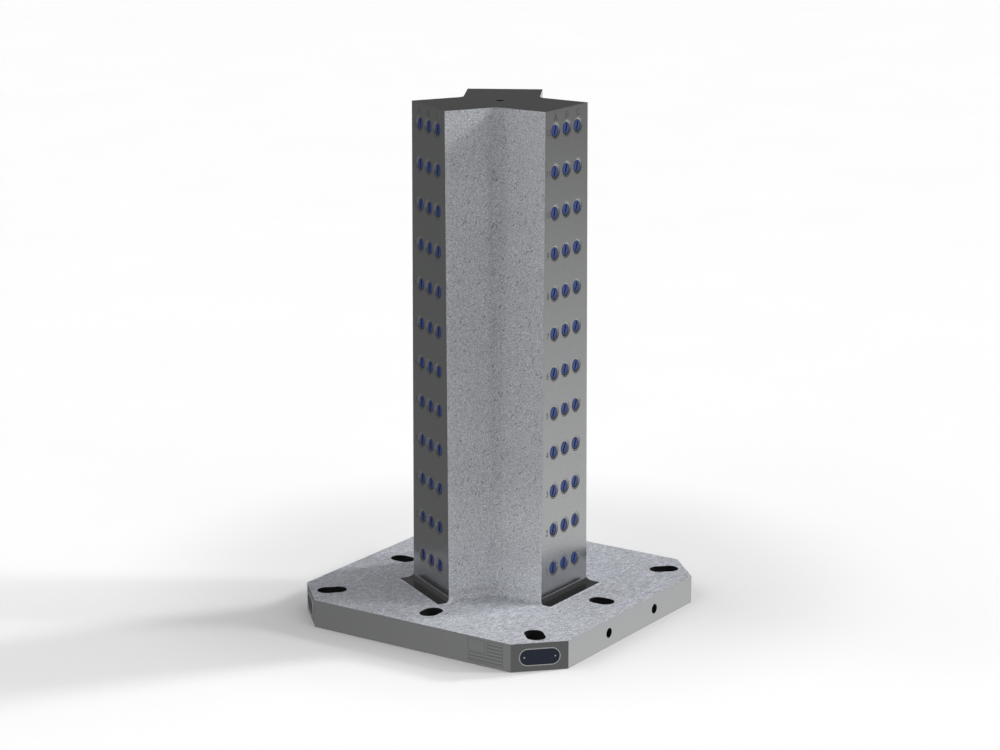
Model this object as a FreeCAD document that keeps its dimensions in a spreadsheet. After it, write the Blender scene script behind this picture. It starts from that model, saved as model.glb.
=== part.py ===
import FreeCAD, Part
import math
import os
import Sketcher

# A three-faced cast iron tombstone on a square pallet base, in millimetres.
# The column's axis is Z, the base's underside is at Z = 0 and its sides lie
# along X and Y. Face 1 looks along -Y, and faces 2 and 3 follow it round at
# 120 degrees each, seen from above.

DRIVING_SIZES = {
    # Base plate
    "base_width": 400.0,
    "base_thickness": 35.6,
    "base_corner_leg": 50.8,
    # Column as cast: arm_width is measured at draft_height
    "overall_height": 660.4,
    "arm_width": 101.6,
    "draft_height": 330.2,
    "draft_angle": 0.5,
    "cast_reach": 110.5,
    "valley_radius": 12.7,
    "foot_radius": 10.3,
    # Machined faces
    "face_count": 3,
    "face_distance": 98.4,
    "ledge_rise": 1.2,
    "cove_radius": 7.0,
    # Grid of bushed bores in each face: rows fill the height, 50.8 mm apart at these sizes
    "column_count": 3,
    "column_pitch": 25.4,
    "row_count": 12,
    "first_row_height": 76.2,
    "top_row_margin": 25.4,
    "bore_diameter": 15.9,
    "bore_depth": 22.0,
    # Plastic plugs in the bores
    "plug_diameter": 14.6,
    "plug_recess": 1.5,
    "driver_slot_width": 2.4,
    "driver_slot_length": 10.4,
    "driver_slot_depth": 2.0,
    # Clamping slots through the base
    "slot_count": 4,
    "slot_side_margin": 45.0,
    "slot_width": 24.0,
    "side_slot_travel": 10.0,
    "corner_slot_travel": 14.1,
    # Tapped holes
    "edge_hole_spacing": 110.0,
    "edge_hole_diameter": 12.7,
    "edge_hole_depth": 25.0,
    "lifting_hole_diameter": 10.0,
    "lifting_hole_depth": 25.0,
    # Locating bore in the underside
    "locating_bore_diameter": 50.0,
    "locating_bore_depth": 20.0,
    # Nameplates on two corner faces of the base
    "plate_length": 51.7,
    "plate_height": 22.1,
    "plate_thickness": 1.4,
}

# Bores and plugs are drawn with flat sides, which keeps over a hundred of each light
BORE_SIDES = 12
PLUG_SIDES = 10

# Turns about the column's axis, in degrees, from face 1
FULL_TURN = 360
TO_CORNER = 45
FRONT_CORNER = -45
LEFT_CORNER = -135

# Slack for finding edges by their place
SLACK = 0.5

doc = FreeCAD.newDocument("tombstone")
sizes = doc.addObject("Spreadsheet::Sheet", "sizes")
for row, (alias, number) in enumerate(DRIVING_SIZES.items(), start=1):
    sizes.set(f"A{row}", alias)
    sizes.set(f"B{row}", str(number))
    sizes.setAlias(f"B{row}", alias)
doc.recompute()

# Lengths that several features share, as expressions on the sheet
BASE_HALF = "sizes.base_width / 2"
CORNER_START = "(sizes.base_width / 2 - sizes.base_corner_leg)"
CORNER_FACE = "(sizes.base_width - sizes.base_corner_leg) / sqrt(2)"
MID_THICKNESS = "sizes.base_thickness / 2"
FOOT_HALF = (
    "(sizes.arm_width / 2 + (sizes.draft_height - sizes.base_thickness)"
    " * tan(sizes.draft_angle * 1 deg))"
)
TOP_HALF = (
    "(sizes.arm_width / 2 - (sizes.overall_height - sizes.draft_height)"
    " * tan(sizes.draft_angle * 1 deg))"
)
LEDGE_HEIGHT = "(sizes.base_thickness + sizes.ledge_rise)"
COVE_TOP = "(sizes.base_thickness + sizes.ledge_rise + sizes.cove_radius)"
COVE_OUT = "(-sizes.face_distance - sizes.cove_radius)"
CUTTER_OUT = "(-sizes.cast_reach - 2 * sizes.foot_radius)"
CUTTER_TOP = "(sizes.overall_height + sizes.foot_radius)"
CUTTER_WIDTH = f"2 * ({FOOT_HALF} + sizes.foot_radius)"
FIRST_COLUMN = "(sizes.column_pitch * (sizes.column_count - 1) / 2)"
ROWS_HEIGHT = "(sizes.overall_height - sizes.top_row_margin - sizes.first_row_height)"
SLOT_DISTANCE = "(sizes.base_width / 2 - sizes.slot_side_margin)"


def measure(expression):
    """The number that an expression on the sheet gives now."""
    return float(sizes.evalExpression(expression))


def origin_part(body, role):
    """The origin plane or axis of a body that has the given role."""
    for part in body.Origin.OriginFeatures:
        if part.Role == role:
            return (part, [""])
    raise ValueError(f"no {role} in {body.Name}")


def new_body(label):
    body = doc.addObject("PartDesign::Body", label)
    body.Label = label
    return body


def turn_body(body, angle):
    """Turn a body about the column's axis, in degrees anticlockwise from above."""
    rotation = FreeCAD.Rotation(FreeCAD.Vector(0, 0, 1), angle)
    body.Placement = FreeCAD.Placement(FreeCAD.Vector(0, 0, 0), rotation)


def new_sketch(body, name, plane, offset=None, turn=0):
    """A sketch on an origin plane, moved along its normal and turned about it."""
    sketch = body.newObject("Sketcher::SketchObject", name)
    sketch.AttachmentSupport = origin_part(body, plane)
    sketch.MapMode = "FlatFace"
    turned = FreeCAD.Rotation(FreeCAD.Vector(0, 0, 1), turn)
    sketch.AttachmentOffset = FreeCAD.Placement(FreeCAD.Vector(0, 0, 0), turned)
    if offset:
        sketch.setExpression("AttachmentOffset.Base.z", offset)
    return sketch


def bind(sketch, constraint, expression):
    """Add a constraint and tie its value to an expression."""
    index = sketch.addConstraint(constraint)
    sketch.setExpression(f"Constraints[{index}]", expression)


def pin(sketch, kind, line, end, expression):
    """Fix one point's DistanceX or DistanceY from the sketch's origin."""
    value = measure(expression)
    bind(sketch, Sketcher.Constraint(kind, -1, 1, line, end, value), expression)


def draw_outline(sketch, corners, arc_centres=None):
    """Closed outline through corners; arc_centres gives the centre where an arc leaves a corner."""
    arc_centres = arc_centres or {}
    points = [FreeCAD.Vector(measure(x), measure(y), 0) for x, y in corners]
    for index, start in enumerate(points):
        stop = points[(index + 1) % len(points)]
        if index in arc_centres:
            x, y = arc_centres[index]
            centre = FreeCAD.Vector(measure(x), measure(y), 0)
            circle = Part.Circle(centre, FreeCAD.Vector(0, 0, 1), (start - centre).Length)
            first = math.atan2(start.y - centre.y, start.x - centre.x)
            last = math.atan2(stop.y - centre.y, stop.x - centre.x)
            sketch.addGeometry(Part.ArcOfCircle(circle, first, last))
            pin(sketch, "DistanceX", index, 3, x)
            pin(sketch, "DistanceY", index, 3, y)
        else:
            sketch.addGeometry(Part.LineSegment(start, stop))
    for index, (x, y) in enumerate(corners):
        before = (index - 1) % len(corners)
        sketch.addConstraint(Sketcher.Constraint("Coincident", before, 2, index, 1))
        pin(sketch, "DistanceY", index, 1, y)
        if before not in arc_centres:
            pin(sketch, "DistanceX", index, 1, x)


def draw_polygon(sketch, across, up, diameter, sides):
    """A regular polygon whose corners lie on a circle of a bound diameter."""
    corners = []
    for side in range(sides):
        angle = f"{side} * {FULL_TURN} deg / {sides}"
        corners.append((
            f"{across} + {diameter} / 2 * cos({angle})",
            f"{up} + {diameter} / 2 * sin({angle})",
        ))
    draw_outline(sketch, corners)


def draw_circle(sketch, across, up, diameter):
    """A circle of a bound diameter about two expressions."""
    centre = FreeCAD.Vector(measure(across), measure(up), 0)
    size = measure(diameter)
    circle = sketch.addGeometry(Part.Circle(centre, FreeCAD.Vector(0, 0, 1), size / 2))
    bind(sketch, Sketcher.Constraint("Diameter", circle, size), diameter)
    pin(sketch, "DistanceX", circle, 3, across)
    pin(sketch, "DistanceY", circle, 3, up)


def draw_slot(sketch, across, up, travel, width):
    """An obround along the sketch's first axis: travel between centres, full width."""
    radius = measure(width) / 2
    step = FreeCAD.Vector(measure(travel) / 2, 0, 0)
    rise = FreeCAD.Vector(0, radius, 0)
    middle = FreeCAD.Vector(measure(across), measure(up), 0)
    normal = FreeCAD.Vector(0, 0, 1)
    quarter = math.pi / 2
    right = Part.Circle(middle + step, normal, radius)
    left = Part.Circle(middle - step, normal, radius)
    right_arc = sketch.addGeometry(Part.ArcOfCircle(right, -quarter, quarter))
    top = sketch.addGeometry(Part.LineSegment(middle + step + rise, middle - step + rise))
    left_arc = sketch.addGeometry(Part.ArcOfCircle(left, quarter, 3 * quarter))
    foot = sketch.addGeometry(Part.LineSegment(middle - step - rise, middle + step - rise))
    chain = (right_arc, top, left_arc, foot, right_arc)
    for one, other in zip(chain, chain[1:]):
        sketch.addConstraint(Sketcher.Constraint("Tangent", one, 2, other, 1))
    sketch.addConstraint(Sketcher.Constraint("Equal", right_arc, left_arc))
    sketch.addConstraint(Sketcher.Constraint("Horizontal", top))
    bind(sketch, Sketcher.Constraint("Radius", right_arc, radius), f"{width} / 2")
    pin(sketch, "DistanceX", right_arc, 3, f"{across} + {travel} / 2")
    pin(sketch, "DistanceX", left_arc, 3, f"{across} - {travel} / 2")
    pin(sketch, "DistanceY", right_arc, 3, up)


def pad(body, name, sketch, length, inward=False):
    """Raise a sketch along its normal, or against it."""
    feature = body.newObject("PartDesign::Pad", name)
    feature.Profile = sketch
    feature.Reversed = inward
    feature.setExpression("Length", length)
    doc.recompute()
    return feature


def pocket(body, name, sketch, depth, symmetric=False, upward=False):
    """Cut a sketch against its normal, or along it, and check that metal went."""
    before = body.Shape.Volume
    feature = body.newObject("PartDesign::Pocket", name)
    feature.Profile = sketch
    feature.SideType = "Symmetric" if symmetric else "One side"
    feature.Reversed = upward
    feature.setExpression("Length", depth)
    doc.recompute()
    if body.Shape.Volume >= before:
        raise ValueError(f"{name} cut nothing")
    return feature


def turn_about_axis(body, name, originals, count):
    """Repeat features about the column's axis. With no originals it is a step of a grid."""
    pattern = body.newObject("PartDesign::PolarPattern", name)
    pattern.Axis = origin_part(body, "Z_Axis")
    pattern.Angle = FULL_TURN
    pattern.setExpression("Occurrences", count)
    if originals:
        pattern.Originals = originals
        body.Tip = pattern
        doc.recompute()
    return pattern


def round_edges(body, name, wanted, radius):
    """Round the edges whose end points all pass a test."""
    carrier = body.Tip
    names = []
    for number, edge in enumerate(carrier.Shape.Edges, start=1):
        if all(wanted(vertex.Point) for vertex in edge.Vertexes):
            names.append(f"Edge{number}")
    feature = body.newObject("PartDesign::Fillet", name)
    feature.Base = (carrier, names)
    feature.setExpression("Radius", radius)
    body.Tip = feature
    doc.recompute()


def cast_base(body):
    """A square plate with its corners cut off at 45 degrees."""
    outline = new_sketch(body, "base_outline", "XY_Plane")
    draw_outline(outline, [
        (BASE_HALF, f"-{CORNER_START}"),
        (BASE_HALF, CORNER_START),
        (CORNER_START, BASE_HALF),
        (f"-{CORNER_START}", BASE_HALF),
        (f"-{BASE_HALF}", CORNER_START),
        (f"-{BASE_HALF}", f"-{CORNER_START}"),
        (f"-{CORNER_START}", f"-{BASE_HALF}"),
        (CORNER_START, f"-{BASE_HALF}"),
    ])
    pad(body, "base_plate", outline, "sizes.base_thickness")


def cast_column(body):
    """Arms with drafted sides about the axis, rounded in the valleys and round the foot."""
    elevation = new_sketch(body, "arm_elevation", "XZ_Plane")
    draw_outline(elevation, [
        (f"-{FOOT_HALF}", "sizes.base_thickness"),
        (FOOT_HALF, "sizes.base_thickness"),
        (TOP_HALF, "sizes.overall_height"),
        (f"-{TOP_HALF}", "sizes.overall_height"),
    ])
    arm = pad(body, "arm", elevation, "sizes.cast_reach")
    turn_about_axis(body, "arms", [arm], "sizes.face_count")

    foot = measure("sizes.base_thickness")
    between_faces = math.pi / measure("sizes.face_count")
    valley_reach = measure(FOOT_HALF) / math.sin(between_faces)
    base_reach = measure(BASE_HALF)

    def in_valley(point):
        return math.hypot(point.x, point.y) < valley_reach + SLACK and point.z > foot - SLACK

    def at_foot(point):
        on_side = max(abs(point.x), abs(point.y)) > base_reach - SLACK
        return abs(point.z - foot) < SLACK and not on_side

    round_edges(body, "valley_fillets", in_valley, "sizes.valley_radius")
    round_edges(body, "foot_fillet", at_foot, "sizes.foot_radius")


def machine_faces(body):
    """A cut down each arm's end that leaves a cove and a thin ledge at its foot."""
    section = new_sketch(body, "face_cut_section", "YZ_Plane")
    draw_outline(section, [
        ("-sizes.face_distance", COVE_TOP),
        ("-sizes.face_distance", CUTTER_TOP),
        (CUTTER_OUT, CUTTER_TOP),
        (CUTTER_OUT, LEDGE_HEIGHT),
        (COVE_OUT, LEDGE_HEIGHT),
    ], {4: (COVE_OUT, COVE_TOP)})
    face_cut = pocket(body, "face_cut", section, CUTTER_WIDTH, symmetric=True)
    turn_about_axis(body, "machined_faces", [face_cut], "sizes.face_count")


def cut_slots(body):
    """Clamping slots, radial: one towards each side and one towards each corner."""
    for name, distance, travel, turn in (
        ("side_slot", SLOT_DISTANCE, "sizes.side_slot_travel", 0),
        ("corner_slot", f"{SLOT_DISTANCE} * sqrt(2)", "sizes.corner_slot_travel", TO_CORNER),
    ):
        outline = new_sketch(body, f"{name}_outline", "XY_Plane", turn=turn)
        draw_slot(outline, distance, "0", travel, "sizes.slot_width")
        slot = pocket(body, name, outline, "sizes.base_thickness", upward=True)
        turn_about_axis(body, f"{name}s", [slot], "sizes.slot_count")


def drill_base_and_top(body):
    """Edge holes under face 1, a lifting hole in the top and a locating bore below."""
    edge_holes = new_sketch(body, "edge_hole_circles", "XZ_Plane", offset=BASE_HALF)
    for side in ("-", ""):
        across = f"{side}sizes.edge_hole_spacing / 2"
        draw_circle(edge_holes, across, MID_THICKNESS, "sizes.edge_hole_diameter")
    pocket(body, "edge_holes", edge_holes, "sizes.edge_hole_depth")

    lifting = new_sketch(body, "lifting_hole_circle", "XY_Plane", offset="sizes.overall_height")
    draw_circle(lifting, "0", "0", "sizes.lifting_hole_diameter")
    pocket(body, "lifting_hole", lifting, "sizes.lifting_hole_depth")

    locating = new_sketch(body, "locating_bore_circle", "XY_Plane")
    draw_circle(locating, "0", "0", "sizes.locating_bore_diameter")
    pocket(body, "locating_bore", locating, "sizes.locating_bore_depth", upward=True)


def bore_faces(body):
    """The same grid of bushed bores in every face."""
    outline = new_sketch(body, "bore_outline", "XZ_Plane", offset="sizes.face_distance")
    across = f"-{FIRST_COLUMN}"
    draw_polygon(outline, across, "sizes.first_row_height", "sizes.bore_diameter", BORE_SIDES)
    bore = pocket(body, "bore", outline, "sizes.bore_depth")
    grid = body.newObject("PartDesign::MultiTransform", "bore_grid")
    grid.Originals = [bore]
    spread = body.newObject("PartDesign::LinearPattern", "columns_and_rows")
    spread.Direction = origin_part(body, "X_Axis")
    spread.setExpression("Occurrences", "sizes.column_count")
    spread.setExpression("Length", "sizes.column_pitch * (sizes.column_count - 1)")
    spread.Direction2 = origin_part(body, "Z_Axis")
    spread.setExpression("Occurrences2", "sizes.row_count")
    spread.setExpression("Length2", ROWS_HEIGHT)
    around = turn_about_axis(body, "bore_faces", [], "sizes.face_count")
    grid.Transformations = [spread, around]
    body.Tip = grid
    doc.recompute()


def make_casting():
    """Base and column in one casting, with everything that is machined into it."""
    body = new_body("tombstone_casting")
    cast_base(body)
    cast_column(body)
    machine_faces(body)
    cut_slots(body)
    drill_base_and_top(body)
    bore_faces(body)
    return body


def make_plugs(face, column):
    """The plugs of one column of bores: each stands on its bore's floor."""
    letter = "abcdefgh"[column]
    body = new_body(f"face_{face + 1}_column_{letter}_plugs")
    body.AllowCompound = True
    outer_end = "sizes.face_distance - sizes.plug_recess"
    across = f"sizes.column_pitch * {column} - {FIRST_COLUMN}"
    height = "sizes.first_row_height"

    outline = new_sketch(body, "plug_outline", "XZ_Plane", offset=outer_end)
    draw_polygon(outline, across, height, "sizes.plug_diameter", PLUG_SIDES)
    plug = pad(body, "plug", outline, "sizes.bore_depth - sizes.plug_recess", inward=True)

    slot_outline = new_sketch(body, "driver_slot_outline", "XZ_Plane", offset=outer_end)
    left = f"{across} - sizes.driver_slot_width / 2"
    right = f"{across} + sizes.driver_slot_width / 2"
    low = f"{height} - sizes.driver_slot_length / 2"
    high = f"{height} + sizes.driver_slot_length / 2"
    draw_outline(slot_outline, [(left, low), (right, low), (right, high), (left, high)])
    slot = pocket(body, "driver_slot", slot_outline, "sizes.driver_slot_depth")

    rows = body.newObject("PartDesign::LinearPattern", "rows")
    rows.Originals = [plug, slot]
    rows.Direction = origin_part(body, "Z_Axis")
    rows.setExpression("Occurrences", "sizes.row_count")
    rows.setExpression("Length", ROWS_HEIGHT)
    body.Tip = rows
    turn_body(body, FULL_TURN * face / measure("sizes.face_count"))
    return body


def make_nameplate(label, angle):
    """A plain round-ended plate, flat on a corner face of the base."""
    body = new_body(label)
    outline = new_sketch(body, "plate_outline", "XZ_Plane", offset=CORNER_FACE)
    travel = "(sizes.plate_length - sizes.plate_height)"
    draw_slot(outline, "0", MID_THICKNESS, travel, "sizes.plate_height")
    pad(body, "plate", outline, "sizes.plate_thickness")
    turn_body(body, angle)
    return body


def check_document(pieces):
    """Stop if anything failed to compute, or a piece has no valid shape."""
    for thing in doc.Objects:
        if {"Invalid", "Error"} & set(thing.State):
            raise ValueError(f"{thing.Name} failed: {thing.State}")
    for piece in pieces:
        if piece.Shape.isNull() or not piece.Shape.isValid():
            raise ValueError(f"{piece.Label} has no valid shape")


pieces = [make_casting()]
for face in range(int(measure("sizes.face_count"))):
    for column in range(int(measure("sizes.column_count"))):
        pieces.append(make_plugs(face, column))
pieces.append(make_nameplate("front_nameplate", FRONT_CORNER))
pieces.append(make_nameplate("left_nameplate", LEFT_CORNER))
doc.recompute()
check_document(pieces)

os.makedirs("parts", exist_ok=True)
for piece in pieces:
    piece.Shape.exportStep(f"parts/{piece.Label}.step")
    print(piece.Label, len(piece.Shape.Solids), round(piece.Shape.Volume, 1))
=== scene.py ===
import math
import random

import bmesh
import bpy
from mathutils import Matrix, Vector


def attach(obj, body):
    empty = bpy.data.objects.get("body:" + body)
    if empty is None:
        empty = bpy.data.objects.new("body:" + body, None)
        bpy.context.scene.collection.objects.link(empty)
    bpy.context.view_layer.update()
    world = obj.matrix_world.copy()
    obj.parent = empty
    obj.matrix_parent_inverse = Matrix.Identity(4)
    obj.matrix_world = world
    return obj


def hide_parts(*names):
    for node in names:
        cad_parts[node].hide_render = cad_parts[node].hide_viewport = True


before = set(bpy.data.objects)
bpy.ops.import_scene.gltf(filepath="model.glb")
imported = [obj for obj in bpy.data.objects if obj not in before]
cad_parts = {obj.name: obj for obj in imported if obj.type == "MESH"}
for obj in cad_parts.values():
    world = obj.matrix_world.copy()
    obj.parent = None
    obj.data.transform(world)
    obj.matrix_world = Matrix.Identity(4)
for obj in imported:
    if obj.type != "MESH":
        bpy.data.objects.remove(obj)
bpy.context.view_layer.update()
random.seed(12)

# Sizes in metres, as in the CAD
MM = 0.001
BASE_HALF = 200 * MM
BASE_TOP = 35.6 * MM
CORNER_FACE = (400 - 50.8) * MM / math.sqrt(2)
HEIGHT = 660.4 * MM
FACE = 98.4 * MM
LEDGE = 36.8 * MM
COVE = 7 * MM
FACE_TURNS = (0, 120, 240)
COLUMNS = (("a", -25.4 * MM), ("b", 0.0), ("c", 25.4 * MM))
ROWS = [(76.2 + 50.8 * row) * MM for row in range(12)]
BORE_DEPTH = 22 * MM

# How far the polygons of the casting's surfaces may reach: its plain bores, the holes on its axis, and on each
# machined face the face itself, the grid of seats, one seat, and the marks
CAD_BORE_RADIUS = 8.2 * MM
CAD_BORE_DEPTH = 23 * MM
AXIS_HOLE_RADIUS = 30 * MM
LOCATING_BORE_TOP = 21 * MM
LIFTING_HOLE_DEPTH = 26 * MM
FACE_HALF_WIDTH = 53.5 * MM
GRID_HALF_WIDTH = 46 * MM
GRID_LOW = 60 * MM
SEAT_REACH = 10.6 * MM
MARK_DEPTH = 0.4 * MM
NEAR = 0.02 * MM

# Outlines of turned shapes, as (radius, depth below the face)
SEAT = [(0, -1 * MM), (10.35 * MM, -1 * MM), (10.35 * MM, 0.0), (9.86 * MM, 0.18 * MM), (9.62 * MM, 0.45 * MM),
        (9.525 * MM, 0.85 * MM), (9.525 * MM, BORE_DEPTH + 0.2 * MM), (0, BORE_DEPTH + 0.2 * MM)]
BUSHING = [(9.51 * MM, 0.5 * MM), (8.7 * MM, 0.5 * MM), (8.45 * MM, 0.6 * MM), (7.3 * MM, 1.2 * MM),
           (7.3 * MM, BORE_DEPTH), (9.51 * MM, BORE_DEPTH)]
PLUG_RADIUS = 6.8 * MM
PLUG_RECESS = 0.95 * MM
PLUG = [(0, PLUG_RECESS), (5.2 * MM, PLUG_RECESS), (PLUG_RADIUS - 0.45 * MM, PLUG_RECESS),
        (PLUG_RADIUS - 0.13 * MM, PLUG_RECESS + 0.13 * MM), (PLUG_RADIUS, PLUG_RECESS + 0.45 * MM),
        (PLUG_RADIUS, BORE_DEPTH), (0, BORE_DEPTH)]

# The plug's driver slot in millimetres: half its width, half its straight length, its depth, how far its cutter
# stands proud, and the radius and depth within which its darker plastic shows as painted shade
SLOT_HALF_WIDTH, SLOT_HALF_LENGTH, SLOT_DEPTH, SLOT_RISE = 1.15, 4.4, 2.0, 0.3
SLOT_REACH, SLOT_LEVELS = 5.7, (0.01, 3)

# Degrees that each face's plugs lean from upright, and how much they vary
PLUG_LEAN = {1: 18, 2: 10, 3: 8}
LEAN_SPREAD = 4

# Engraved marks. The grooves of the two passes differ in (half width, depth), so no two faces coincide
MARK_HEIGHT = 7 * MM
LETTER_HEIGHT = 1.06 * MARK_HEIGHT
LETTER_RISE = 12.6 * MM
NUMBER_DROP = 4.6 * MM
NUMBER_ACROSS = -41 * MM
GROOVES = ((0.52 * MM, 0.35 * MM), (0.50 * MM, 0.38 * MM))
GROOVE_RISE = 0.3 * MM
GROOVE_FLOOR = 0.35
STROKE_END = 0.8
INNER_MITRE, OUTER_MITRE = 0.25, 0.45
CHARACTER_HEIGHT, CHARACTER_PITCH, CHARACTER_GAP = 6, 5.2, 1.2

# Nameplates: the rim's outline as (inset, height over the corner's face), and the rivets' as (radius, depth)
PLATE_LENGTH, PLATE_HEIGHT, PLATE_THICK = 51.7 * MM, 22.1 * MM, 1.4 * MM
PLATE_RIM = [(0.0, 0.0), (0.0, PLATE_THICK - 0.35 * MM), (0.1 * MM, PLATE_THICK - 0.1 * MM),
             (0.25 * MM, PLATE_THICK), (0.75 * MM, PLATE_THICK), (0.9 * MM, PLATE_THICK - 0.1 * MM),
             (1.1 * MM, PLATE_THICK - 0.55 * MM)]
RIVET = [(0, -PLATE_THICK + 0.02 * MM), (0.5 * MM, -PLATE_THICK + 0.06 * MM),
         (0.85 * MM, -PLATE_THICK + 0.25 * MM), (1.1 * MM, -PLATE_THICK + 0.55 * MM),
         (1.15 * MM, -PLATE_THICK + 0.9 * MM), (0, -PLATE_THICK + 0.9 * MM)]
RIVET_ACROSS = 19.2 * MM

SHARP_ANGLE = math.radians(32)


# Meshes

def new_piece(name, bm, *materials):
    mesh = bpy.data.meshes.new(name)
    bmesh.ops.recalc_face_normals(bm, faces=bm.faces[:])
    bm.to_mesh(mesh)
    bm.free()
    piece = bpy.data.objects.new(name, mesh)
    bpy.context.scene.collection.objects.link(piece)
    for material in materials:
        mesh.materials.append(material)
    return piece


def lathe(bm, profile, place, segments=48, closed=True):
    """A solid of revolution. The profile gives (radius, depth), and depth runs inwards along +Y."""
    rings = []
    for radius, depth in profile:
        if radius == 0:
            rings.append([bm.verts.new(place @ Vector((0, depth, 0)))])
            continue
        ring = []
        for step in range(segments):
            angle = 2 * math.pi * step / segments
            point = Vector((radius * math.cos(angle), depth, radius * math.sin(angle)))
            ring.append(bm.verts.new(place @ point))
        rings.append(ring)
    pairs = list(zip(rings, rings[1:]))
    if closed:
        pairs.append((rings[-1], rings[0]))
    for one, other in pairs:
        for step in range(segments):
            following = (step + 1) % segments
            if len(one) == 1:
                bm.faces.new((one[0], other[step], other[following]))
            elif len(other) == 1:
                bm.faces.new((one[step], other[0], one[following]))
            else:
                bm.faces.new((one[step], other[step], other[following], one[following]))


def face_place(turn, across, height):
    """From a point on a machined face, with X across it, Y inwards and Z up, to the row's frame."""
    return Matrix.Rotation(math.radians(turn), 4, "Z") @ Matrix.Translation((across, -FACE, height))


def shade(piece):
    """Smooth shading that keeps hard edges, with flat faces weighing most."""
    mesh = piece.data
    mesh.polygons.foreach_set("use_smooth", [True] * len(mesh.polygons))
    mesh.set_sharp_from_angle(angle=SHARP_ANGLE)
    weighted = piece.modifiers.new("weighted", "WEIGHTED_NORMAL")
    weighted.keep_sharp = True
    weighted.weight = 100


def cut(piece, cutter):
    """Take the cutter out of the piece for good. The cutter's own parts must not overlap."""
    bm = bmesh.new()
    bm.from_mesh(piece.data)
    bmesh.ops.triangulate(bm, faces=bm.faces[:])
    bm.to_mesh(piece.data)
    bm.free()
    modifier = piece.modifiers.new("cut", "BOOLEAN")
    modifier.operation = "DIFFERENCE"
    modifier.solver = "EXACT"
    modifier.object = cutter
    graph = bpy.context.evaluated_depsgraph_get()
    mesh = bpy.data.meshes.new_from_object(piece.evaluated_get(graph))
    piece.modifiers.clear()
    old = piece.data
    piece.data = mesh
    bpy.data.meshes.remove(old)
    bpy.data.objects.remove(cutter)


# Materials

def shader(name, roughness, metallic=0.0):
    material = bpy.data.materials.new(name)
    material.use_nodes = True
    tree = material.node_tree
    bsdf = tree.nodes["Principled BSDF"]
    bsdf.inputs["Roughness"].default_value = roughness
    bsdf.inputs["Metallic"].default_value = metallic
    return material, tree, bsdf


def node(tree, kind, inputs=None, **settings):
    made = tree.nodes.new(kind)
    for key, value in settings.items():
        setattr(made, key, value)
    for key, value in (inputs or {}).items():
        if isinstance(value, bpy.types.NodeSocket):
            tree.links.new(value, made.inputs[key])
        else:
            made.inputs[key].default_value = value
    return made


def object_place(tree):
    return node(tree, "ShaderNodeTexCoord").outputs["Object"]


def number_math(tree, operation, one, other):
    return node(tree, "ShaderNodeMath", {0: one, 1: other}, operation=operation).outputs[0]


def vector_math(tree, operation, inputs, output="Vector"):
    return node(tree, "ShaderNodeVectorMath", inputs, operation=operation).outputs[output]


def spread(tree, value, source, target=(0.0, 1.0), smooth=False):
    """One range of values laid onto another, and held at its ends."""
    return node(tree, "ShaderNodeMapRange", {
        "Value": value, "From Min": source[0], "From Max": source[1], "To Min": target[0], "To Max": target[1],
    }, interpolation_type="SMOOTHSTEP" if smooth else "LINEAR").outputs["Result"]


def noise(tree, vector, scale, detail, roughness):
    return node(tree, "ShaderNodeTexNoise", {
        "Vector": vector, "Scale": scale, "Detail": detail, "Roughness": roughness,
    }).outputs["Fac"]


def ramp(tree, value, stops):
    """A colour ramp. Each stop is (place, colour), and a colour is a grey or (red, green, blue)."""
    made = node(tree, "ShaderNodeValToRGB", {"Fac": value})
    elements = made.color_ramp.elements
    while len(elements) < len(stops):
        elements.new(0.5)
    for element, (place, color) in zip(elements, stops):
        element.position = place
        element.color = (*color, 1) if isinstance(color, tuple) else (color, color, color, 1)
    return made.outputs["Color"]


def mix(tree, kind, factor, one, other):
    """Two colours put together. The numbers are the Mix node's sockets for colours."""
    made = node(tree, "ShaderNodeMix", {0: factor, 6: one, 7: other}, data_type="RGBA", blend_type=kind)
    return made.outputs[2]


def bump(tree, bsdf, height, strength, distance):
    made = node(tree, "ShaderNodeBump", {"Height": height, "Strength": strength, "Distance": distance})
    tree.links.new(made.outputs["Normal"], bsdf.inputs["Normal"])


def stretched(tree, place, along, share):
    """The place, squeezed along one direction, so that a texture's grains grow long that way."""
    along = Vector(along).normalized()
    reach = vector_math(tree, "DOT_PRODUCT", {0: place, 1: along}, "Value")
    shift = vector_math(tree, "SCALE", {0: along * (share - 1), "Scale": reach})
    return vector_math(tree, "ADD", {0: place, 1: shift})


# The cast skin: the ways its grains lie, their tones, and the painted light and shade that run up the column.
# The foot's ramp of painted light goes from the floor to FOOT_END and holds half of each tone, because it is
# doubled after it
GRAIN_SLANT = (0.42, -0.62, 0.66)
RIPPLE_WAY = (1.14, -0.44, 0)
DASH_TONES = [(0.2, (0.18, 0.186, 0.2)), (0.4, (0.37, 0.381, 0.405)), (0.55, (0.56, 0.574, 0.605)),
              (0.75, (0.9, 0.915, 0.945))]
RIPPLE_TONES = [(0.3, (0.6, 0.605, 0.62)), (0.5, (1.05, 1.055, 1.085)), (0.7, (1.45, 1.46, 1.5))]
FOOT_END = 0.2
CLIMB_END = 0.4
HALF_FOOT_LIGHT_TONES = [(0.18, 0.53), (0.205, 0.76), (0.265, 0.86), (0.33, 0.82), (0.45, 0.69), (0.58, 0.67),
                   (0.83, 0.59), (1.0, 0.53)]


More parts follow.
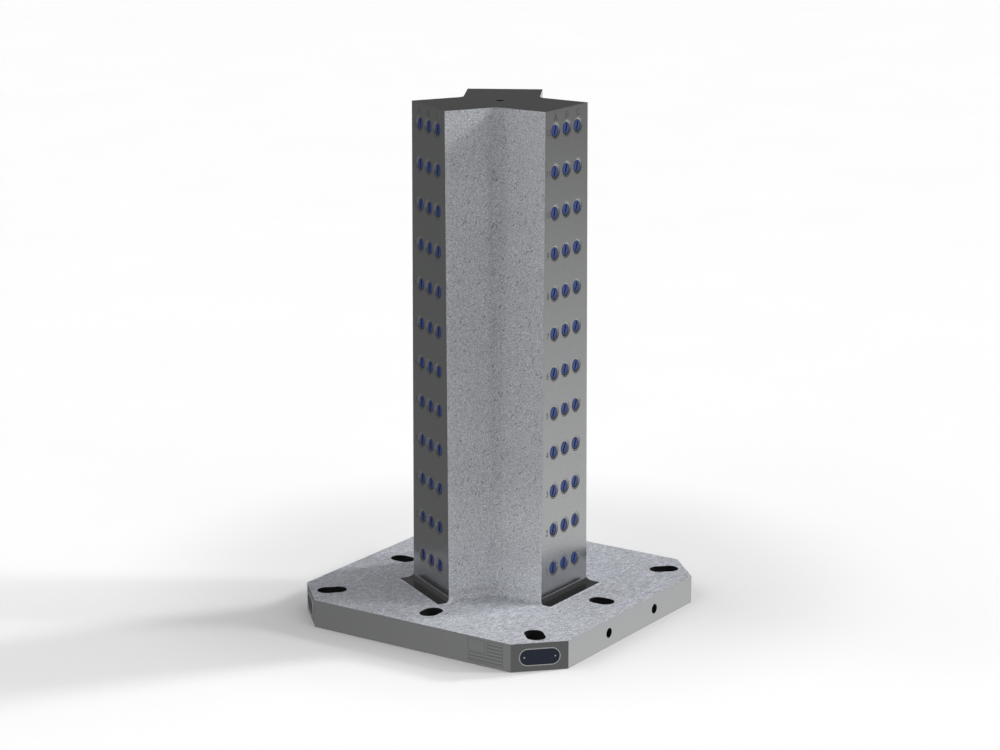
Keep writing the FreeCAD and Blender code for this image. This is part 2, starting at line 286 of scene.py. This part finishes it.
def cast_material():
    """Sand-cast iron: slanting grain with sparse dark pits, longer ripples on top of the base, painted light at
    the column's foot that fades into painted shade upwards, and painted shade in its valleys."""
    material, tree, bsdf = shader("cast_iron_rough", 0.6)
    place = object_place(tree)
    level = node(tree, "ShaderNodeSeparateXYZ", {0: place}).outputs["Z"]
    on_base = spread(tree, level, (BASE_TOP + 1 * MM, BASE_TOP + 7 * MM), (1.0, 0.0))
    dashes = noise(tree, stretched(tree, place, GRAIN_SLANT, 0.55), 900, 3, 0.7)
    grain = noise(tree, place, 1100, 4, 0.75)
    broad = noise(tree, place, 14, 3, 0.5)
    ripples = noise(tree, stretched(tree, place, RIPPLE_WAY, 0.42), 330, 4, 0.7)
    scratches = noise(tree, stretched(tree, place, GRAIN_SLANT, 0.35), 430, 2, 0.5)
    pits = ramp(tree, scratches, [(0.28, 0.0), (0.36, 1.0)])
    radius = vector_math(tree, "LENGTH", {0: vector_math(tree, "MULTIPLY", {0: place, 1: (1, 1, 0)})}, "Value")
    # Painted shade: the skin darkens into the valleys between the arms, near the column's axis
    valley_shade = spread(tree, radius, (59 * MM, 67 * MM), (0.86, 1.0), smooth=True)
    # Painted light at the column's foot, doubled after the ramp, then painted shade that darkens the skin from
    # FOOT_END up to CLIMB_END
    half_foot_light = ramp(tree, spread(tree, level, (0.0, FOOT_END)), HALF_FOOT_LIGHT_TONES)
    foot_light = number_math(tree, "MULTIPLY", half_foot_light, 2.0)
    upper_shade = spread(tree, level, (FOOT_END, CLIMB_END), (1.0, 0.9))

    tone = ramp(tree, dashes, DASH_TONES)
    for share, layer in (
        (0.9, ramp(tree, grain, [(0.3, 0.5), (0.7, 1.28)])),
        (0.5, ramp(tree, broad, [(0.3, 0.9), (0.7, 1.04)])),
        (0.42, pits),
        (on_base, ramp(tree, ripples, RIPPLE_TONES)),
        (1.0, valley_shade),
        (1.0, foot_light),
        (1.0, upper_shade),
    ):
        tone = mix(tree, "MULTIPLY", share, tone, layer)
    tree.links.new(tone, bsdf.inputs["Base Color"])

    swell = number_math(tree, "MULTIPLY", number_math(tree, "MULTIPLY", ripples, on_base), 1.8)
    height = number_math(tree, "ADD", dashes, number_math(tree, "MULTIPLY", grain, 0.4))
    height = number_math(tree, "ADD", pits, height)
    height = number_math(tree, "ADD", swell, height)
    bump(tree, bsdf, height, 0.8, 0.0012)
    bsdf.inputs["Specular IOR Level"].default_value = 0.3
    return material


def milled_material():
    """Milled faces: even grey metal with very fine cutter marks."""
    material, tree, bsdf = shader("cast_iron_milled", 0.2, 1.0)
    place = object_place(tree)
    passes = node(tree, "ShaderNodeMapping", {"Vector": place, "Scale": (1, 1, 14)}).outputs["Vector"]
    marks = noise(tree, passes, 260, 3, 0.6)
    speck = noise(tree, place, 900, 3, 0.6)
    tone = ramp(tree, speck, [(0.3, (0.43, 0.435, 0.44)), (0.7, (0.5, 0.505, 0.51))])
    tree.links.new(tone, bsdf.inputs["Base Color"])
    tree.links.new(ramp(tree, marks, [(0.3, 0.18), (0.7, 0.23)]), bsdf.inputs["Roughness"])
    bump(tree, bsdf, marks, 0.12, 0.0001)
    return material


def speckled(name, roughness, grain, tones, relief, metallic=0.0, specular=None):
    """A finish with one grain of (scale, detail, roughness), from a dark to a light tone, and with a relief of
    (strength, distance)."""
    material, tree, bsdf = shader(name, roughness, metallic)
    speck = noise(tree, object_place(tree), *grain)
    dark, light = tones
    tree.links.new(ramp(tree, speck, [(0.3, dark), (0.7, light)]), bsdf.inputs["Base Color"])
    bump(tree, bsdf, speck, *relief)
    if specular is not None:
        bsdf.inputs["Specular IOR Level"].default_value = specular
    return material


CAST = cast_material()
MILLED = milled_material()
# Painted shade: near-black on the walls of slots and holes
HOLE_SHADE = speckled("hole_painted_shade", 0.7, (500, 4, 0.6), (0.010, 0.022), (0.3, 0.0004), specular=0.15)
# Ground bushing steel
STEEL = speckled("bushing_steel", 0.25, (1200, 2, 0.5), (0.44, 0.55), (0.1, 0.0001), metallic=1.0)
# Moulded blue plastic, and a darker copy of it as painted shade in the driver slots
PLASTIC = speckled("plug_plastic", 0.42, (700, 2, 0.5), ((0.015, 0.035, 0.145), (0.023, 0.047, 0.178)),
                   (0.08, 0.0001))
SHADED = speckled("plug_slot_painted_shade", 0.42, (700, 2, 0.5), ((0.006, 0.012, 0.05), (0.010, 0.018, 0.07)),
                  (0.08, 0.0001))
# Dark grey for the engraved lines
MARKED = speckled("engraved_line", 0.6, (900, 2, 0.5), (0.05, 0.09), (0.2, 0.0002))
# The nameplates' pale rims and rivets, and their dark enamel field
RIM = speckled("plate_rim", 0.4, (900, 3, 0.6), ((0.50, 0.505, 0.51), (0.6, 0.605, 0.61)), (0.15, 0.0001),
               metallic=0.35)
FIELD = speckled("plate_field", 0.35, (800, 3, 0.6), ((0.012, 0.018, 0.035), (0.02, 0.028, 0.05)),
                 (0.1, 0.0001))

# The casting's materials, by index
CASTING_MATERIALS = (CAST, MILLED, HOLE_SHADE, MARKED)
SKIN, METAL, HOLE, LINE = range(4)


# Casting: the CAD casting with round bored seats, engraved marks and its own finish on each surface

def arc(cx, cy, rx, ry, first, last, steps=10):
    """Points along an arc of an ellipse, in degrees."""
    turns = [math.radians(first + (last - first) * step / steps) for step in range(steps + 1)]
    return [(cx + rx * math.cos(turn), cy + ry * math.sin(turn)) for turn in turns]


def ring(cx, cy, rx, ry):
    """A closed loop: its last point is its first."""
    return arc(cx, cy, rx, ry, 90, 450, 20)


# Plain engraved characters, about 4 wide and 6 high: strokes that cross are cut in two passes
STROKES = {
    "0": ([ring(2, 3, 1.7, 3)], []),
    "1": ([[(1.0, 4.9), (2.2, 6), (2.2, 0)]], []),
    "2": ([arc(2, 4.3, 1.6, 1.7, 165, -35) + [(0.3, 0), (3.8, 0)]], []),
    "3": ([arc(1.8, 4.5, 1.5, 1.5, 150, -90)], [arc(1.8, 1.55, 1.8, 1.6, 84, -150)]),
    "4": ([[(3.0, 6), (0.2, 1.8), (3.9, 1.8)]], [[(3.0, 5.6), (3.0, 0)]]),
    "5": ([[(3.4, 6), (0.8, 6), (0.6, 3.1)] + arc(1.8, 1.9, 1.8, 1.9, 80, -150)], []),
    "6": ([ring(2, 1.8, 1.7, 1.8)], [[(3.0, 6), (1.5, 4.4), (0.45, 2.3)]]),
    "7": ([[(0.3, 6), (3.7, 6), (1.4, 0)]], []),
    "8": ([ring(2, 4.55, 1.4, 1.45)], [ring(2, 1.48, 1.75, 1.5)]),
    "9": ([ring(2, 4.2, 1.7, 1.8)], [[(3.55, 3.7), (2.5, 1.6), (1.0, 0)]]),
    "A": ([[(-0.7, 0), (2, 6), (4.7, 0)]], [[(0.4, 2.1), (3.6, 2.1)]]),
    "B": ([[(-0.2, 3.2), (-0.2, 6)] + arc(2.1, 4.6, 2.0, 1.4, 90, -90, 8) + [(-0.2, 3.2)]],
          [[(-0.15, 3.0), (-0.15, 0)] + arc(2.1, 1.55, 2.4, 1.55, -90, 80, 8)]),
    "C": ([arc(2.3, 3, 2.7, 3, 50, 310, 12)], []),
}


def engrave(bm, text, place, height, cut_pass):
    """Cutters for V-shaped grooves along the strokes of one pass, centred across the place."""
    radius, depth = GROOVES[cut_pass]
    scale = height / CHARACTER_HEIGHT
    advance = CHARACTER_PITCH * scale
    start = -(len(text) * advance - CHARACTER_GAP * scale) / 2
    for index, character in enumerate(text):
        for stroke in STROKES[character][cut_pass]:
            points = [Vector((start + index * advance + x * scale, y * scale)) for x, y in stroke]
            groove(bm, place, points, radius, depth)


def offset_line(points, radius, closed):
    """The two sides of a line of points, mitred at its corners."""
    sides = ([], [])
    count = len(points)
    for index, point in enumerate(points):
        before = points[index - 1] if closed or index else None
        after = points[(index + 1) % count] if closed or index < count - 1 else None
        one = (point - before).normalized() if before is not None else (after - point).normalized()
        other = (after - point).normalized() if after is not None else one
        along = (one + other).normalized()
        across = Vector((-along.y, along.x))
        mitre = abs(across.dot(Vector((-one.y, one.x))))
        turns_left = one.x * other.y - one.y * other.x > 0
        for side, sign in ((0, 1), (1, -1)):
            least = INNER_MITRE if turns_left == (sign > 0) else OUTER_MITRE
            sides[side].append(point + sign * across * radius / max(least, mitre))
    return sides


def groove(bm, place, points, radius, depth):
    """A closed cutter along a stroke, wide at the surface and narrow at its floor."""
    closed = (points[0] - points[-1]).length < radius / 10
    if closed:
        points = points[:-1]
    else:
        first = (points[0] - points[1]).normalized() * radius * STROKE_END
        last = (points[-1] - points[-2]).normalized() * radius * STROKE_END
        points = [points[0] + first] + points[1:-1] + [points[-1] + last]
    levels = []
    for y, share in ((-GROOVE_RISE, 1.0), (0.0, 1.0), (depth, GROOVE_FLOOR)):
        sides = offset_line(points, radius * share, closed)
        levels.append([[bm.verts.new(place @ Vector((p.x, y, p.y))) for p in side] for side in sides])
    for index in range(len(points) if closed else len(points) - 1):
        following = (index + 1) % len(points)
        for level, flip in ((0, False), (2, True)):
            a, b = levels[level]
            face = [a[index], a[following], b[following], b[index]]
            bm.faces.new(face[::-1] if flip else face)
        for upper, lower in zip(levels, levels[1:]):
            for one, other in zip(upper, lower):
                bm.faces.new((one[index], one[following], other[following], other[index]))
    if not closed:
        for upper, lower in zip(levels, levels[1:]):
            for end in (0, -1):
                bm.faces.new((upper[0][end], lower[0][end], lower[1][end], upper[1][end]))


def engrave_panel(bm):
    """A plain square and seven outlined stripes, on the left side of the base near its front corner."""
    place = Matrix.Rotation(math.radians(-90), 4, "Z") @ Matrix.Translation((0, -BASE_HALF, 0))
    left, right, low, high, pitch = 87 * MM, 137.5 * MM, 3.3 * MM, 32.3 * MM, 4.45 * MM
    square_wide, square_high, beside_square = 24.3 * MM, 15.9 * MM, 27.8 * MM
    stripe_high = 0.76 * pitch
    half_width, depth = 0.17 * MM, 0.2 * MM
    boxes = [(left, high - square_high, left + square_wide, high)]
    for stripe in range(7):
        top = high - stripe * pitch
        start = left + beside_square if stripe < 4 else left
        boxes.append((start, max(low, top - stripe_high), right, top))
    for x0, z0, x1, z1 in boxes:
        corners = [(x0, z0), (x1, z0), (x1, z1), (x0, z1), (x0, z0)]
        groove(bm, place, [Vector(corner) for corner in corners], half_width, depth)


def make_casting():
    bm = bmesh.new()
    bm.from_mesh(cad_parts["tombstone_casting"].data)
    bmesh.ops.remove_doubles(bm, verts=bm.verts[:], dist=1e-6)
    close_faces(bm)
    piece = new_piece("casting", bm)
    if "custom_normal" in piece.data.attributes:
        piece.data.attributes.remove(piece.data.attributes["custom_normal"])

    bm = bmesh.new()
    for turn in FACE_TURNS:
        for _, across in COLUMNS:
            for height in ROWS:
                lathe(bm, SEAT, face_place(turn, across, height), closed=False)
    cut(piece, new_piece("seat_cutter", bm))

    for cut_pass in (0, 1):
        bm = bmesh.new()
        for turn in FACE_TURNS:
            for letter, across in COLUMNS:
                place = face_place(turn, across, ROWS[-1] + LETTER_RISE)
                engrave(bm, letter.upper(), place, LETTER_HEIGHT, cut_pass)
            for row, height in enumerate(ROWS, start=1):
                place = face_place(turn, NUMBER_ACROSS, height - NUMBER_DROP)
                engrave(bm, str(row), place, MARK_HEIGHT, cut_pass)
        if cut_pass == 0:
            engrave_panel(bm)
        cut(piece, new_piece(f"mark_cutter_{cut_pass}", bm))

    for material in CASTING_MATERIALS:
        piece.data.materials.append(material)
    shade(piece)
    for polygon in piece.data.polygons:
        polygon.material_index, flat = surface_at(polygon.center, polygon.normal)
        polygon.use_smooth = not flat
    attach(piece, "root")
    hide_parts("tombstone_casting")


def close_faces(bm):
    """Take the plain bores out of the machined faces, which get round ones instead."""
    bores = [Vector((across, 0, height)) for _, across in COLUMNS for height in ROWS]
    doomed = []
    for turn in FACE_TURNS:
        back = Matrix.Rotation(math.radians(-turn), 3, "Z")
        for face in bm.faces:
            centre, normal = back @ face.calc_center_median(), back @ face.normal
            on_face = abs(centre.y + FACE) < NEAR and normal.y < -0.99
            flat = Vector((centre.x, 0, centre.z))
            in_bore = (-FACE < centre.y < -FACE + CAD_BORE_DEPTH
                       and any((flat - bore).length < CAD_BORE_RADIUS for bore in bores))
            if on_face or in_bore:
                doomed.append(face)
    bmesh.ops.delete(bm, geom=doomed, context="FACES")
    bmesh.ops.holes_fill(bm, edges=[edge for edge in bm.edges if edge.is_boundary], sides=0)


def surface_at(centre, normal):
    """(material index, whether it is shaded flat) of one polygon of the casting."""
    if centre.z > HEIGHT - NEAR or centre.z < NEAR:
        return METAL, True
    # The holes on the axis, and the slots and edge holes under the base top, take the near-black painted shade
    on_axis = math.hypot(centre.x, centre.y) < AXIS_HOLE_RADIUS
    if on_axis and (centre.z < LOCATING_BORE_TOP or centre.z > HEIGHT - LIFTING_HOLE_DEPTH):
        return HOLE, False
    if centre.z < BASE_TOP - NEAR:
        reach = max(abs(centre.x), abs(centre.y))
        corner = (abs(centre.x) + abs(centre.y)) / math.sqrt(2)
        if reach > BASE_HALF - NEAR or corner > CORNER_FACE - NEAR:
            return METAL, True
        # The panel's lines, then slots and edge holes
        if centre.x < -BASE_HALF + 0.3 * MM and centre.y < -80 * MM:
            return LINE, False
        return HOLE, False
    for turn in FACE_TURNS:
        back = Matrix.Rotation(math.radians(-turn), 3, "Z")
        place, facing = back @ centre, back @ normal
        if abs(place.x) > FACE_HALF_WIDTH or place.y > -FACE + CAD_BORE_DEPTH:
            continue
        if abs(place.y + FACE) < NEAR / 2 and facing.y < -0.99:
            return METAL, True
        # Marks, then the bores' walls
        off_bores = min(math.hypot(place.x - across, place.z - height)
                        for _, across in COLUMNS for height in ROWS)
        if -FACE < place.y < -FACE + MARK_DEPTH and off_bores > SEAT_REACH and place.z > GRID_LOW:
            return LINE, False
        if place.y > -FACE and abs(place.x) < GRID_HALF_WIDTH and place.z > GRID_LOW:
            return METAL, False
        # The ledge at the face's foot, and the cove over it
        if abs(place.z - LEDGE) < NEAR and facing.z > 0.99:
            return METAL, True
        from_cove = math.hypot(place.y + FACE + COVE, place.z - LEDGE - COVE)
        if place.z < LEDGE + COVE and abs(from_cove - COVE) < 0.12 * MM and abs(facing.x) < 0.02:
            return METAL, False
    return SKIN, False


# Bushings, plugs and nameplates

def make_bushings(number, turn):
    """Hardened rings pressed into one face's seats, half a millimetre below the face."""
    bm = bmesh.new()
    for _, across in COLUMNS:
        for height in ROWS:
            lathe(bm, BUSHING, face_place(turn, across, height))
    piece = new_piece(f"face_{number}_bushings", bm, STEEL)
    shade(piece)
    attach(piece, "root")


def plug_mesh():
    """One plug on its own axis: a rounded rim, and a driver slot with round ends."""
    bm = bmesh.new()
    lathe(bm, PLUG, Matrix.Identity(4), closed=False)
    body = new_piece("plug_blank", bm)
    bm = bmesh.new()
    place = Matrix.Translation((0, PLUG_RECESS, 0))
    slot = [(SLOT_HALF_WIDTH * math.cos(math.radians(t)),
             SLOT_HALF_LENGTH * side + SLOT_HALF_WIDTH * math.sin(math.radians(t)))
            for side, first in ((1, 0), (-1, 180)) for t in range(first, first + 181, 20)]
    top, floor = [[bm.verts.new(place @ Vector((x * MM, y * MM, z * MM))) for x, z in slot]
                  for y in (-SLOT_RISE, SLOT_DEPTH)]
    bm.faces.new(top)
    bm.faces.new(floor[::-1])
    for index in range(len(slot)):
        following = (index + 1) % len(slot)
        bm.faces.new((top[index], top[following], floor[following], floor[index]))
    cut(body, new_piece("plug_slot", bm))
    # Painted shade: the slot's walls and floor take the darker copy of the plastic
    for polygon in body.data.polygons:
        within = math.hypot(polygon.center.x, polygon.center.z) < SLOT_REACH * MM
        below = PLUG_RECESS + SLOT_LEVELS[0] * MM < polygon.center.y < PLUG_RECESS + SLOT_LEVELS[1] * MM
        polygon.material_index = 1 if within and below else 0
    return body


def make_plugs(number, turn, letter, across, blank):
    """Twelve plugs of one column, each turned a little differently."""
    bm = bmesh.new()
    for height in ROWS:
        angle = math.radians(random.gauss(PLUG_LEAN[number], LEAN_SPREAD))
        place = face_place(turn, across, height) @ Matrix.Rotation(angle, 4, "Y")
        start = len(bm.verts)
        bm.from_mesh(blank)
        bm.verts.ensure_lookup_table()
        bmesh.ops.transform(bm, matrix=place, verts=bm.verts[start:])
    piece = new_piece(f"face_{number}_plugs_{letter}", bm, PLASTIC, SHADED)
    shade(piece)
    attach(piece, "root")
    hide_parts(f"face_{number}_column_{letter}_plugs")


def stadium(length, height, inset, steps=20):
    """Points round a stadium, inset from its outline."""
    radius = height / 2 - inset
    half = (length - height) / 2
    points = []
    for centre, first in ((half, -90), (-half, 90)):
        for step in range(steps + 1):
            angle = math.radians(first + 180 * step / steps)
            points.append((centre + radius * math.cos(angle), radius * math.sin(angle)))
    return points


def make_nameplate(name, turn):
    """A bare plate with a raised rim round a dark field, and two domed rivets."""
    place = Matrix.Rotation(math.radians(turn), 4, "Z") @ Matrix.Translation((0, -CORNER_FACE, BASE_TOP / 2))
    bm = bmesh.new()
    rings = [[bm.verts.new(place @ Vector((x, -rise, z)))
              for x, z in stadium(PLATE_LENGTH, PLATE_HEIGHT, inset)]
             for inset, rise in PLATE_RIM]
    for one, other in zip(rings, rings[1:]):
        for step in range(len(one)):
            following = (step + 1) % len(one)
            bm.faces.new((one[step], one[following], other[following], other[step]))
    bm.faces.new(rings[-1]).material_index = 1
    bm.faces.new(list(reversed(rings[0])))
    piece = new_piece(name, bm, RIM, FIELD)
    shade(piece)
    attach(piece, "root")
    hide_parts(name)

    bm = bmesh.new()
    for across in (-RIVET_ACROSS, RIVET_ACROSS):
        lathe(bm, RIVET, place @ Matrix.Translation((across, 0, 0)), segments=24, closed=False)
    rivets = new_piece(f"{name}_rivets", bm, RIM)
    shade(rivets)
    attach(rivets, "root")


make_casting()
blank = plug_mesh()
for number, turn in enumerate(FACE_TURNS, start=1):
    make_bushings(number, turn)
    for letter, across in COLUMNS:
        make_plugs(number, turn, letter, across, blank.data)
bpy.data.objects.remove(blank)
make_nameplate("front_nameplate", -45)
make_nameplate("left_nameplate", -135)


# Studio

FLOOR_RADIUS = 30
FLOOR_DROP = 0.5 * MM
# A painted shadow on the floor round the object: its centre, the radii over which it fades out, and its darkest
# tone
SHADOW_POOL_CENTRE = (0.1, 0.067, 0)
SHADOW_POOL_EDGE = (0.28, 0.56)
SHADOW_POOL_TONE = 0.87

# The surround's grey by height, from straight down at 0 to straight up at 1
SKY = [(0.0, 0.40), (0.25, 0.22), (0.36, 0.165), (0.53, 0.15), (0.60, 0.085), (0.93, 0.085), (0.98, 0.55)]
# Its brighter sides, below the horizon: azimuth in degrees, the cosines between which they grow, the height
# where they are brightest, and how bright
SIDES = ((-34, 0.55, 0.92, -0.305, 0.69), (175, 0.72, 0.93, -0.2, 0.36), (236, 0.9, 0.99, -0.2, 0.08))
SIDE_TOP = -0.125

# Name, azimuth, height and width in degrees, and power
SUNS = (("key", -35, 22, 8, 1.7), ("key_high", -58, 23, 8, 1.1), ("key_side", -36, 31, 35, 0.6),
        ("left_high", 124, 45, 40, 0.71), ("left_front", 170, 40, 40, 0.56), ("front_right", 250, 30, 30, 0.19),
        ("right_high", -70, 60, 50, 0.6))

CAMERA_PLACE = (-2.8372, -1.8978, 1.1758)
CAMERA_DIP = 14.252
CAMERA_LENS = 99.63


def make_floor():
    """A pale paper floor, with a painted shadow that darkens it a little round the object."""
    bm = bmesh.new()
    bmesh.ops.create_circle(bm, cap_ends=True, segments=96, radius=FLOOR_RADIUS)
    floor = new_piece("floor", bm)
    floor.location.z = -FLOOR_DROP
    material, tree, bsdf = shader("floor_paper", 0.9)
    place = object_place(tree)
    tone = ramp(tree, noise(tree, place, 3, 2, 0.5), [(0.3, 0.935), (0.7, 0.945)])
    away = vector_math(tree, "LENGTH", {0: vector_math(tree, "SUBTRACT", {0: place, 1: SHADOW_POOL_CENTRE})}, "Value")
    shadow_pool = spread(tree, away, SHADOW_POOL_EDGE, (SHADOW_POOL_TONE, 1.0), smooth=True)
    tree.links.new(mix(tree, "MULTIPLY", 1.0, tone, shadow_pool), bsdf.inputs["Base Color"])
    bsdf.inputs["Specular IOR Level"].default_value = 0.1
    floor.data.materials.append(material)
    floor.visible_glossy = False


def make_world():
    """The soft surround that metal mirrors: dim round the horizon, brighter straight up and down, with brighter
    sides below the horizon."""
    world = bpy.data.worlds.new("studio")
    bpy.context.scene.world = world
    world.use_nodes = True
    tree = world.node_tree
    way = node(tree, "ShaderNodeTexCoord").outputs["Generated"]
    z = node(tree, "ShaderNodeSeparateXYZ", {0: way}).outputs["Z"]
    glow = ramp(tree, spread(tree, z, (-1.0, 1.0)), SKY)
    for azimuth, near, far, bottom, strength in SIDES:
        side = (math.cos(math.radians(azimuth)), math.sin(math.radians(azimuth)), 0)
        toward = vector_math(tree, "DOT_PRODUCT", {0: way, 1: side}, "Value")
        beside = spread(tree, toward, (near, far), smooth=True)
        below = spread(tree, z, (SIDE_TOP, bottom), (0.0, strength))
        glow = mix(tree, "ADD", 1.0, glow, number_math(tree, "MULTIPLY", beside, below))
    tree.links.new(glow, tree.nodes["Background"].inputs["Color"])


def sun_light(name, azimuth, height, angle, power):
    """A soft light from far away, from a direction in degrees. Metal doesn't mirror it, only the surround."""
    data = bpy.data.lights.new(name, "SUN")
    data.energy = power
    data.angle = math.radians(angle)
    light = bpy.data.objects.new(name, data)
    level = math.cos(math.radians(height))
    way = Vector((math.cos(math.radians(azimuth)) * level, math.sin(math.radians(azimuth)) * level,
                  math.sin(math.radians(height))))
    light.rotation_euler = (-way).to_track_quat("-Z", "Y").to_euler()
    light.visible_glossy = False
    bpy.context.scene.collection.objects.link(light)


def make_camera():
    """The photograph's camera. It looks level at the row's axis, then dips."""
    data = bpy.data.cameras.new("camera")
    data.lens = CAMERA_LENS
    data.sensor_width = 36
    data.clip_end = 200
    camera = bpy.data.objects.new("camera", data)
    camera.location = CAMERA_PLACE
    heading = math.atan2(-CAMERA_PLACE[1], -CAMERA_PLACE[0])
    camera.rotation_euler = (math.radians(90 - CAMERA_DIP), 0, heading - math.pi / 2)
    bpy.context.scene.collection.objects.link(camera)
    bpy.context.scene.camera = camera


make_floor()
make_world()
for sun in SUNS:
    sun_light(*sun)
make_camera()
bpy.context.scene.view_settings.view_transform = "Standard"
bpy.context.scene.view_settings.look = "None"
